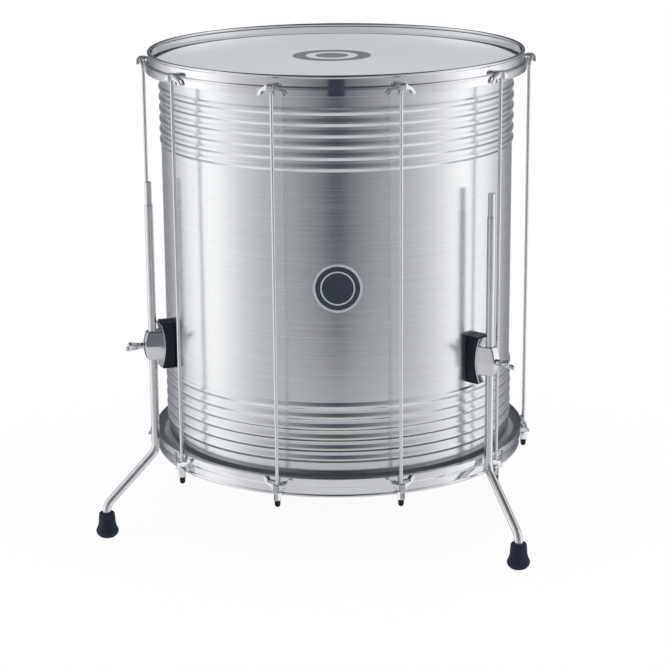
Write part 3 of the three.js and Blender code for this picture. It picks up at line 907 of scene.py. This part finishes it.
class SURDO_OT_rods(bpy.types.Operator):
    """Makes a tension rod with its welded upper claw, and sets ten round the drum"""

    bl_idname = "surdo.rods"
    bl_label = "Tension rods"

    def execute(self, context):
        c, h, s = settings().rod, settings().hoop, settings().shell
        flat = s.top + GAP
        inner = h.band + PLAY
        tip, crown = c.circle + c.reach, c.circle + c.radius
        inside, outside = 0.6 * c.beak, 1.6 * c.beak
        curl = (tip - outside, flat - inside)
        low = flat - c.drop + 0.8 * MM
        outline = [(inner, flat), (crown - c.sheet, flat)]
        outline += arc(curl, inside, 80, 0, 5)
        outline += [(tip - c.beak, low), (tip - c.beak / 2, flat - c.drop), (tip, low)]
        outline += arc(curl, outside, 0, 84, 7)
        outline += [(crown - 2 * c.sheet, flat + c.beak), (inner, flat + c.sheet)]
        beak = round_edges(sideways("beak", outline, c.nose), CLAW_EDGE)
        prongs = round_edges(fork("prongs", flat, 1), CLAW_EDGE)
        bar = drum_rod("bar", c.radius, cap_top() - CAP_BITE, flat + c.sheet / 2, 20)
        on_rod_circle(bar)
        fillet = [(0, flat - c.weld_height), (c.radius, flat - c.weld_height)]
        fillet += [(c.radius + c.weld_width, flat), (0, flat)]
        weld = on_rod_circle(turned("weld", fillet, 20))
        master = smooth(joined("rod", bar, weld, beak, prongs), 40)
        set_out(
            master, rod_places(), "fine_tension_rod_{}",
            bar_chrome(), "drum", "chrome_rod", "tension_rod_{}",
        )
        return {"FINISHED"}


def nut_top():
    c, s = settings().rod, settings().shell
    return s.top - s.depth - c.boss_height + c.sheet - GAP


def cap_top():
    return nut_top() - settings().rod.nut_height - GAP


class SURDO_OT_caps(bpy.types.Operator):
    """Makes the black vinyl caps on the rods' lower ends"""

    bl_idname = "surdo.caps"
    bl_label = "Rod caps"

    def execute(self, context):
        c = settings().rod
        top = cap_top()
        end, nose = top - c.cap_height, c.cap - 0.35 * MM
        profile = [(0, top), (c.cap - 0.5 * MM, top), (c.cap, top - 0.5 * MM)]
        profile += [(c.cap, top - 1.4 * MM), (nose, top - 1.8 * MM), (nose, end + nose)]
        profile += arc((0, end + nose), nose, 0, -90, 7)[1:-1] + [(0, end)]
        master = on_rod_circle(smooth(turned("cap", profile, 24), 50))
        set_out(master, rod_places(), "rod_cap_{}", cap_vinyl(), "drum", "chrome_rod")
        return {"FINISHED"}


class SURDO_OT_lower_claws(bpy.types.Operator):
    """Makes a lower claw with its boss, and sets ten round the drum"""

    bl_idname = "surdo.lower_claws"
    bl_label = "Lower claws"

    def execute(self, context):
        c, h, s = settings().rod, settings().hoop, settings().shell
        flat = s.top - s.depth - GAP
        boss_top, boss_bottom = flat + c.sheet, nut_top() + GAP
        inner, face = h.band + PLAY, h.skirt + GAP
        tip, chamfer = c.circle + c.reach, 1.2 * MM
        outline = [(inner, flat), (face, flat), (face, boss_top)]
        outline += [(c.circle + c.boss, boss_top), (c.circle + c.boss, flat)]
        outline += [(tip, boss_bottom + chamfer), (tip - chamfer, boss_bottom)]
        outline += [(c.circle - c.boss, boss_bottom), (inner, flat - c.sheet)]
        beak = round_edges(sideways("beak", outline, 2 * c.boss), 0.8 * MM)
        prongs = round_edges(fork("prongs", flat, -1), CLAW_EDGE)
        bore = drum_rod("bore", c.radius + PLAY, boss_bottom - OVERSHOOT, boss_top + OVERSHOOT, 20)
        combine(beak, on_rod_circle(bore), "DIFFERENCE")
        master = smooth(joined("claw", beak, prongs), 40)
        set_out(
            master, rod_places(), "fine_lower_claw_{}",
            chrome(), "drum", "chrome_claw", "lower_claw_{}",
        )
        return {"FINISHED"}


class SURDO_OT_nuts(bpy.types.Operator):
    """Makes a chamfered tuning nut, and sets ten on the rods"""

    bl_idname = "surdo.nuts"
    bl_label = "Tuning nuts"

    def execute(self, context):
        c = settings().rod
        top, flat, chamfer = nut_top(), c.nut / 2, 0.9 * MM
        bottom = top - c.nut_height
        corner = flat / math.cos(math.pi / 6)
        outline = [(x, y, bottom) for x, y in arc((0, 0), corner, 0, 300, 5)]
        master = plate("nut", outline, (0, 0, c.nut_height))
        cone = [(0, bottom), (flat, bottom), (corner, bottom + chamfer)]
        cone += [(corner, top - chamfer), (flat, top), (0, top)]
        combine(master, turned("chamfer", cone, 36), "INTERSECT")
        bore = drum_rod("bore", c.radius + PLAY, bottom - OVERSHOOT, top + OVERSHOOT, 20)
        combine(master, bore, "DIFFERENCE")
        on_rod_circle(smooth(round_edges(master, 0.25 * MM, 1), 30))
        set_out(
            master, rod_places(), "fine_tuning_nut_{}",
            chrome(), "nut_{}", "chrome_claw", "tuning_nut_{}",
        )
        return {"FINISHED"}


def pad_outline(inset):
    """Barrel-shaped outline of the pad, seen from outside."""
    b = settings().bracket
    rise = (b.pad_waist_width - b.pad_end_width) / 2
    right = bowed(b.pad_end_width / 2 - inset, rise, b.pad_height / 2 - inset)
    outline = right + [(-x, z) for x, z in right[::-1]]
    return [(x, b.level + z) for x, z in outline]


def pad_face(offset, half):
    """Hollowed outer face of the pad, or a face that lies outside it by offset."""
    b, s = settings().bracket, settings().shell
    points = bowed(s.radius + b.pad_end + offset, b.pad_waist - b.pad_end, half)
    return [(r, b.level + z) for r, z in points]


class SURDO_OT_pads(bpy.types.Operator):
    """Makes a bracket pad, hollowed outside and seated on the shell"""

    bl_idname = "surdo.pads"
    bl_label = "Bracket pads"

    def execute(self, context):
        b, s = settings().bracket, settings().shell
        half = b.pad_height / 2
        deep = s.radius - 4 * MM
        side = [(deep, b.level - half)] + pad_face(0, half) + [(deep, b.level + half)]
        master = sideways("pad", side, b.pad_waist_width + OVERSHOOT)
        outline = facing("outline", pad_outline(0), deep - MM, s.radius + b.pad_end + OVERSHOOT)
        combine(master, outline, "INTERSECT")
        low, high = b.level - b.pad_height, b.level + b.pad_height
        drum = drum_rod("drum_space", s.radius + GAP, low, high, RING_STEPS)
        combine(master, drum, "DIFFERENCE")
        smooth(round_edges(master, 1.4 * MM, 3, 40), 35)
        set_out(
            master, bracket_places(), "fine_bracket_pad_{}",
            pad_plastic(), "drum", "pad_plastic", "bracket_pad_{}",
        )
        return {"FINISHED"}


def housing_radii():
    """Distance from the drum's axis to the housing's outer face, at its ends and its middle."""
    b = settings().bracket
    end = settings().leg.circle + b.bore + b.end_wall
    return end, end + b.bow


class SURDO_OT_housings(bpy.types.Operator):
    """Makes the cast housing with its base plate, leg bore and bolt bore"""

    bl_idname = "surdo.housings"
    bl_label = "Bracket housings"

    def execute(self, context):
        b, s, leg = settings().bracket, settings().shell, settings().leg
        half = b.pad_height / 2
        inner, outer = pad_face(GAP, half), pad_face(GAP + b.plate, half)
        base = sideways("base", inner + outer[::-1], b.pad_waist_width + OVERSHOOT)
        outline = facing("outline", pad_outline(b.inset), s.radius, leg.circle + 10 * MM)
        combine(base, outline, "INTERSECT")
        round_edges(base, 0.8 * MM, 2, 40)
        end, middle = housing_radii()
        root = s.radius + b.pad_waist + GAP + b.plate / 2
        face = [(r, b.level + z) for r, z in bowed(end, b.bow, b.height / 2)]
        side = [(root, b.level - b.height / 2)] + face + [(root, b.level + b.height / 2)]
        block = sideways("block", side, b.root_width + OVERSHOOT)
        self.cut_flanks(block, root, middle)
        round_edges(block, 1.8 * MM, 4, 40)
        bore = drum_rod("bore", b.bore, b.level - b.height, b.level + b.height, 32)
        combine(block, moved(bore, Matrix.Translation((0, -leg.circle, 0))), "DIFFERENCE")
        bolt = settings().wing.shank + PLAY
        hole = outwards(drum_rod("hole", bolt, leg.circle, middle + OVERSHOOT, 24))
        combine(block, moved(hole, Matrix.Translation((0, 0, b.level))), "DIFFERENCE")
        master = smooth(joined("housing", block, base), 35)
        set_out(
            master, bracket_places(), "fine_bracket_housing_{}",
            cast_chrome(), "drum", "chrome_bracket", "bracket_housing_{}",
        )
        return {"FINISHED"}

    @staticmethod
    def cut_flanks(block, root, face):
        """Bisects the block so that it draws in outwards, and from the bolt towards its ends."""
        b = settings().bracket
        inner, outer = root - MM, face + MM
        only(block)
        bpy.ops.object.mode_set(mode="EDIT")
        for side in (1, -1):
            corner = Vector((side * b.root_width / 2, -inner, b.level))
            out = Vector((side * (b.face_width - b.root_width) / 2, inner - outer, 0))
            for up in (1, -1):
                along = Vector((-side * b.draft, 0, up * (b.height / 2 + MM)))
                bpy.ops.mesh.select_all(action="SELECT")
                bpy.ops.mesh.bisect(
                    plane_co=corner,
                    plane_no=(out.cross(along) * (-side * up)).normalized(),
                    use_fill=True,
                    clear_outer=True,
                    threshold=MM / 1000,
                )
        close_up()


class SURDO_OT_wing_bolts(bpy.types.Operator):
    """Makes a wing bolt and turns it as it stands in the photograph"""

    bl_idname = "surdo.wing_bolts"
    bl_label = "Wing bolts"

    def execute(self, context):
        w, b, leg = settings().wing, settings().bracket, settings().leg
        _, face = housing_radii()
        start = face + GAP
        boss_end = start + w.boss_length
        shank_end = leg.circle + leg.radius + GAP
        chamfer, neck = 0.6 * MM, w.boss * 0.72
        stem = [(0, shank_end), (w.shank, shank_end), (w.shank, start)]
        stem += [(w.boss - chamfer, start), (w.boss, start + chamfer)]
        stem += [(w.boss, start + 4.5 * MM), (w.boss * 0.80, start + 6 * MM)]
        stem += [(neck, boss_end - MM), (w.boss * 0.55, boss_end), (0, boss_end)]
        lobe = face + w.reach - w.lobe
        half = [(neck, start + 4.8 * MM), (w.boss + 1.2 * MM, start + 8 * MM)]
        half += arc((w.spread, lobe), w.lobe, -38, 168, 12)
        half += [(w.spread - w.lobe, lobe - 0.4 * MM), (1.5 * MM, lobe - 2.2 * MM)]
        outline = half + [(-x, z) for x, z in half[::-1]]
        wings = plate(
            "wings", [(x, -w.thickness / 2, z) for x, z in outline], (0, w.thickness, 0)
        )
        round_edges(wings, 0.9 * MM, 3)
        master = outwards(smooth(joined("wing", turned("stem", stem, 28), wings), 40))
        lift = Matrix.Translation((0, 0, b.level))
        rests = [Matrix.Rotation(turn, 4, "Y") for turn in (-w.rest, w.rest, w.rest)]
        places = [place @ lift @ rest for place, rest in zip(bracket_places(), rests)]
        set_out(
            master, places, "fine_wing_bolt_{}",
            cast_chrome(), "wing_{}", "chrome_bracket", "wing_bolt_{}",
        )
        return {"FINISHED"}


class SURDO_OT_backing_plates(bpy.types.Operator):
    """Finishes the plates and screws inside the shell"""

    bl_idname = "surdo.backing_plates"
    bl_label = "Backing plates"

    def execute(self, context):
        for i in (1, 2, 3):
            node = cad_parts[f"backing_plate_{i}"]
            node.data.materials.clear()
            node.data.materials.append(zinc())
        return {"FINISHED"}


class SURDO_OT_legs(bpy.types.Operator):
    """Extrudes a bar and spins its two bends, then sets three legs in their housings"""

    bl_idname = "surdo.legs"
    bl_label = "Legs"

    def execute(self, context):
        leg = settings().leg
        run = leg.bend * math.tan(leg.slope / 2)
        low = leg.floor + leg.foot_height + leg.foot_straight + run
        high = low + leg.reach / math.tan(leg.slope)
        nothing_selected()
        bpy.ops.mesh.primitive_circle_add(
            vertices=32, radius=leg.radius, fill_type="NGON", location=(0, 0, leg.top)
        )
        master = bpy.context.object
        bpy.ops.object.transform_apply(location=True, rotation=True, scale=True)
        bpy.ops.object.mode_set(mode="EDIT")
        bpy.ops.mesh.select_all(action="SELECT")
        self.extrude((0, 0, high + run - leg.top))
        self.bend(leg.slope, (0, -leg.bend, high + run))
        straight = (high - low) / math.cos(leg.slope) - 2 * run
        along = Vector((0, -math.sin(leg.slope), -math.cos(leg.slope)))
        self.extrude(along * straight)
        self.bend(-leg.slope, (0, -(leg.reach - leg.bend), low - run))
        self.extrude((0, 0, foot_floor() + GAP - (low - run)))
        close_up()
        smooth(round_edges(master, BAR_EDGE, 1, 50), 40)
        set_out(
            master, leg_places(), "fine_leg_{}",
            bar_chrome(), "leg_assembly_{}", "chrome_leg", "leg_{}",
        )
        return {"FINISHED"}

    @staticmethod
    def extrude(step):
        bpy.ops.mesh.extrude_region_move(TRANSFORM_OT_translate={"value": step})

    @staticmethod
    def bend(turn, centre):
        bpy.ops.mesh.spin(steps=10, angle=turn, center=centre, axis=(1, 0, 0))


class SURDO_OT_leg_tips(bpy.types.Operator):
    """Spins the slimmer upper ends of the legs"""

    bl_idname = "surdo.leg_tips"
    bl_label = "Leg tips"

    def execute(self, context):
        leg = settings().leg
        seat = leg.top + 0.05 * MM
        cone, end = seat + leg.shoulder, seat + leg.shoulder + leg.tip_length
        corner = 1.2 * MM
        profile = [(0, seat), (leg.radius - BAR_EDGE, seat), (leg.radius, seat + BAR_EDGE)]
        profile += [(leg.tip, cone), (leg.tip, end - corner)]
        profile += arc((leg.tip - corner, end - corner), corner, 0, 90, 4)[1:] + [(0, end)]
        master = smooth(turned("tip", profile, 32), 35)
        set_out(
            master, leg_places(), "fine_leg_tip_{}",
            bar_chrome(), "leg_slider_{}", "chrome_leg", "leg_tip_{}",
        )
        return {"FINISHED"}


def foot_floor():
    """Level of the rubber under the end of the bar."""
    return settings().leg.floor + 8 * MM


class SURDO_OT_feet(bpy.types.Operator):
    """Spins the rubber feet, flared towards the floor"""

    bl_idname = "surdo.feet"
    bl_label = "Feet"

    def execute(self, context):
        leg = settings().leg
        mouth = leg.floor + leg.foot_height
        inner = leg.radius + GAP
        skin = [
            (leg.foot_base - MM, 0),
            (leg.foot_base, 0.6 * MM),
            (leg.foot_flare - 1.6 * MM, 4 * MM),
            (leg.foot_flare - 0.3 * MM, 7 * MM),
            (leg.foot_flare, 9.5 * MM),
            (leg.foot_flare - 0.3 * MM, 11 * MM),
            (leg.foot_waist + 1.3 * MM, 16 * MM),
            (leg.foot_waist, 21 * MM),
        ]
        profile = [(0, leg.floor)] + [(radius, leg.floor + height) for radius, height in skin]
        profile += [(leg.foot_neck, mouth - 1.6 * MM), (leg.foot_neck - 1.2 * MM, mouth)]
        profile += [(inner, mouth), (inner, foot_floor()), (0, foot_floor())]
        master = smooth(turned("foot", profile, 48), 38)
        moved(master, Matrix.Translation((0, -leg.reach, 0)))
        set_out(
            master, leg_places(), "fine_foot_{}",
            foot_rubber(), "leg_assembly_{}", "foot_rubber", "foot_{}",
        )
        return {"FINISHED"}


class SURDO_OT_badge(bpy.types.Operator):
    """Cuts a bare round badge that follows the shell, with a bright rim and line"""

    bl_idname = "surdo.badge"
    bl_label = "Badge"

    def execute(self, context):
        g = settings().badge
        opening = g.radius - g.rim
        face = self.disc("badge_face", opening, g.thickness * 0.75)
        dressed(smooth(face, 30), badge_enamel(), "drum", "shell_aluminium")
        for name, outer, inner, thickness in (
            ("badge_rim", g.radius, opening, g.thickness),
            ("badge_line", g.radius * g.line_outer, g.radius * g.line_inner, g.thickness * 0.95),
        ):
            ring = combine(self.disc(name, outer, thickness), self.cutter(inner), "DIFFERENCE")
            smooth(round_edges(ring, 0.45 * MM, 3, 50), 45)
            dressed(ring, satin_trim(), "drum", "shell_aluminium")
        return {"FINISHED"}

    @staticmethod
    def cutter(radius):
        """Round bar through the shell's front, at the badge's level."""
        g, s = settings().badge, settings().shell
        disc = outwards(drum_rod("disc", radius, s.radius - 9 * MM, s.radius + 9 * MM, 96))
        return moved(disc, Matrix.Translation((0, 0, g.level)))

    def disc(self, name, radius, thickness):
        """Disc cut from a ring round the shell."""
        g, s = settings().badge, settings().shell
        inner, outer = s.radius + 0.1 * MM, s.radius + thickness
        low, high = g.level - g.radius - MM, g.level + g.radius + MM
        wall = [(inner, low), (outer, low), (outer, high), (inner, high)]
        return combine(turned(name, wall, 2 * RING_STEPS), self.cutter(radius), "INTERSECT")


class SURDO_OT_stage(bpy.types.Operator):
    """Sets the floor, the studio light and the camera"""

    bl_idname = "surdo.stage"
    bl_label = "Stage"

    def execute(self, context):
        self.floor()
        self.surround()
        self.lamps()
        self.camera()
        bpy.context.scene.view_settings.view_transform = "Standard"
        return {"FINISHED"}

    @staticmethod
    def floor():
        """Plain floor that mostly lets the white behind it through, and lowered legs with it."""
        nothing_selected()
        bpy.ops.mesh.primitive_circle_add(
            vertices=96, radius=settings().stage.floor_radius, fill_type="NGON"
        )
        obj = bpy.context.object
        obj.name = "studio_floor"
        obj.location.z = settings().leg.floor
        obj.visible_glossy = False
        n = Finish("studio_floor")
        n.set(Base_Color=(0.9, 0.9, 0.9), Roughness=0.9, Specular_IOR_Level=0.0)
        x, y, _ = n.axes(n.place())
        clear = n.spread(n.distance(x, y), 0.93, 1.0, 0.35, 0.9)
        path = n.add("ShaderNodeLightPath").outputs
        seen = n.math("MAXIMUM", path["Is Camera Ray"], path["Is Glossy Ray"])
        seen = n.math("MAXIMUM", seen, path["Is Transmission Ray"])
        mix = n.add("ShaderNodeMixShader")
        n.link(n.math("MULTIPLY", seen, clear), mix.inputs[0])
        n.link(n.surface.outputs[0], mix.inputs[1])
        n.link(n.add("ShaderNodeBsdfTransparent").outputs[0], mix.inputs[2])
        n.link(mix.outputs[0], n.tree.nodes["Material Output"].inputs["Surface"])
        obj.data.materials.append(n.material)

    @staticmethod
    def surround():
        """White behind the drum; its polished parts mirror a room, a table and a ceiling."""
        world = bpy.data.worlds.new("studio")
        bpy.context.scene.world = world
        world.use_nodes = True
        n = Nodes(world.node_tree)
        n.tree.nodes.clear()
        x, y, z = n.axes(n.add("ShaderNodeTexCoord").outputs["Generated"])
        turn = n.math("ABSOLUTE", n.math("ARCTAN2", x, n.math("MULTIPLY", y, -1.0)))
        side = n.math("DIVIDE", turn, math.pi)

        def light(levels):
            """Light round the drum, a little bluer where it is dim."""
            node = n.add("ShaderNodeValToRGB")
            n.link(side, node.inputs[0])
            elements = node.color_ramp.elements
            while len(elements) > 1:
                elements.remove(elements[-1])
            for i, (degrees, level) in enumerate(levels):
                element = elements.new(degrees / 180) if i else elements[0]
                element.position = degrees / 180
                element.color = (level, level * 0.995 + 0.008, level * 0.97 + 0.035, 1)
            return node.outputs[0]

        def above(edge):
            start, end = (math.sin(math.radians(degrees)) for degrees in edge)
            return n.spread(z, 0, 1, start, end)

        room, table, ceiling = light(ROOM), light(TABLE), light(CEILING)
        studio = n.blend(above(TABLE_EDGE), table, room)
        studio = n.blend(above(CEILING_EDGE), studio, ceiling)
        studio = n.blend(above(TOP_EDGE), studio, TOP_LEVEL)
        path = n.add("ShaderNodeLightPath").outputs
        mirrored = n.math("MAXIMUM", path["Is Glossy Ray"], path["Is Transmission Ray"])
        shown = n.blend(mirrored, settings().stage.ambient, studio)
        shown = n.blend(path["Is Camera Ray"], shown, 1.0)
        background = n.filled("ShaderNodeBackground", Color=shown)
        n.filled("ShaderNodeOutputWorld", Surface=background.outputs[0])

    @staticmethod
    def lamps():
        stage = settings().stage
        centre = Vector((0, 0, middle_level()))
        for name, place, size, power in (
            ("left_lamp", (-2.3, -0.9, 0.5), 1.6, stage.key),
            ("right_lamp", (2.3, -0.9, 0.5), 1.6, stage.key),
            ("top_lamp", (0, -0.4, 2.4), 2.2, stage.top),
        ):
            nothing_selected()
            bpy.ops.object.light_add(type="AREA", location=place)
            lamp = bpy.context.object
            lamp.name = name
            lamp.data.size = size
            lamp.data.energy = power
            lamp.rotation_euler = (centre - lamp.location).to_track_quat("-Z", "Y").to_euler()
            lamp.visible_glossy = False

    @staticmethod
    def camera():
        nothing_selected()
        bpy.ops.object.camera_add(location=CAMERA_PLACE)
        camera = bpy.context.object
        camera.name = "photo_camera"
        aim = Euler((math.pi / 2 - CAMERA_PITCH, 0, -CAMERA_YAW)).to_matrix()
        camera.rotation_euler = (aim @ Matrix.Rotation(CAMERA_ROLL, 3, "Z")).to_euler()
        camera.data.sensor_width = SENSOR_WIDTH
        camera.data.lens = FOCAL_PIXELS / FRAME_PIXELS * SENSOR_WIDTH
        camera.data.clip_end = 50
        bpy.context.scene.camera = camera


class SurdoSettings(bpy.types.PropertyGroup):
    shell: PointerProperty(type=ShellSizes, name="Shell", description="Sizes of the shell")
    hoop: PointerProperty(type=HoopSizes, name="Hoops", description="Sizes of the counterhoops")
    head: PointerProperty(type=HeadSizes, name="Heads", description="Sizes of the heads")
    rod: PointerProperty(type=RodSizes, name="Rods", description="Sizes of rods, claws and nuts")
    bracket: PointerProperty(type=BracketSizes, name="Brackets", description="Sizes of brackets")
    wing: PointerProperty(type=WingSizes, name="Wing bolts", description="Sizes of the wing bolts")
    leg: PointerProperty(type=LegSizes, name="Legs", description="Sizes of the legs and feet")
    badge: PointerProperty(type=BadgeSizes, name="Badge", description="Sizes of the badge")
    finish: PointerProperty(type=Finishes, name="Finishes", description="Colours of the finishes")
    stage: PointerProperty(type=StageSettings, name="Stage", description="Floor and light")


PIECES = (
    SURDO_OT_stage,
    SURDO_OT_shell,
    SURDO_OT_hoops,
    SURDO_OT_heads,
    SURDO_OT_flesh_hoops,
    SURDO_OT_rods,
    SURDO_OT_caps,
    SURDO_OT_lower_claws,
    SURDO_OT_nuts,
    SURDO_OT_pads,
    SURDO_OT_housings,
    SURDO_OT_wing_bolts,
    SURDO_OT_backing_plates,
    SURDO_OT_legs,
    SURDO_OT_leg_tips,
    SURDO_OT_feet,
    SURDO_OT_badge,
)


class SURDO_PT_sidebar(bpy.types.Panel):
    bl_idname = "SURDO_PT_sidebar"
    bl_label = "Surdo"
    bl_space_type = "VIEW_3D"
    bl_region_type = "UI"
    bl_category = "Surdo"

    def draw(self, context):
        column = self.layout.column(align=True)
        for piece in PIECES:
            column.operator(piece.bl_idname)


CLASSES = (
    ShellSizes,
    HoopSizes,
    HeadSizes,
    RodSizes,
    BracketSizes,
    WingSizes,
    LegSizes,
    BadgeSizes,
    Finishes,
    StageSettings,
    SurdoSettings,
    *PIECES,
    SURDO_PT_sidebar,
)


def register():
    for cls in CLASSES:
        bpy.utils.register_class(cls)
    bpy.types.Scene.surdo = PointerProperty(type=SurdoSettings)


def unregister():
    del bpy.types.Scene.surdo
    for cls in reversed(CLASSES):
        bpy.utils.unregister_class(cls)


def main():
    register()
    for piece in PIECES:
        group, name = piece.bl_idname.split(".")
        getattr(getattr(bpy.ops, group), name)()


if __name__ == "__main__":
    main()
